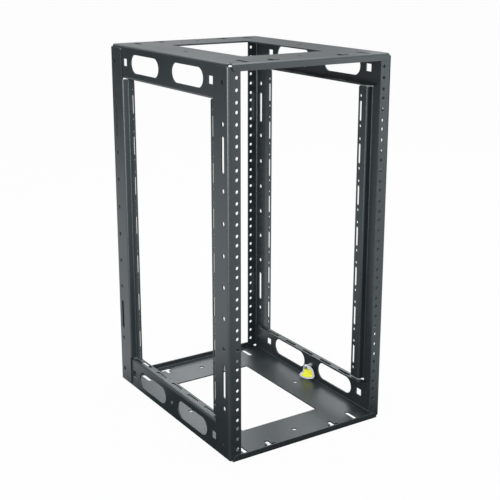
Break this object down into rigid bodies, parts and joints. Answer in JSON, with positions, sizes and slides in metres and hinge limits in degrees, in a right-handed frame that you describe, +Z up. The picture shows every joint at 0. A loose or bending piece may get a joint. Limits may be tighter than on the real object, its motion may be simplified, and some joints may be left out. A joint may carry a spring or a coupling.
{
  "type": "server rack",
  "caption": "open-frame tabletop equipment rack of folded black sheet, with pierced corner posts joined by a top and a bottom pan with large cut-outs",
  "frame": {"origin": "on the floor under the middle of the rack", "axes": "+Z up, +Y towards the rear, +X to the right seen from the front"},
  "size_m": [0.271, 0.3472, 0.557],
  "materials": {
    "frame_paint": "fine-textured black powder coat, satin",
    "zinc_plate": "bright zinc plate",
    "tag_plastic": "plain yellow with a pale border"
  },
  "bodies": {
    "root": {"bottom_pan": "frame_paint", "top_pan": "frame_paint", "post_front_left": "frame_paint", "post_front_right": "frame_paint", "post_rear_left": "frame_paint", "post_rear_right": "frame_paint", "ground_stud": "zinc_plate", "ground_nut": "zinc_plate", "ground_tag": "tag_plastic"}
  },
  "joints": []
}
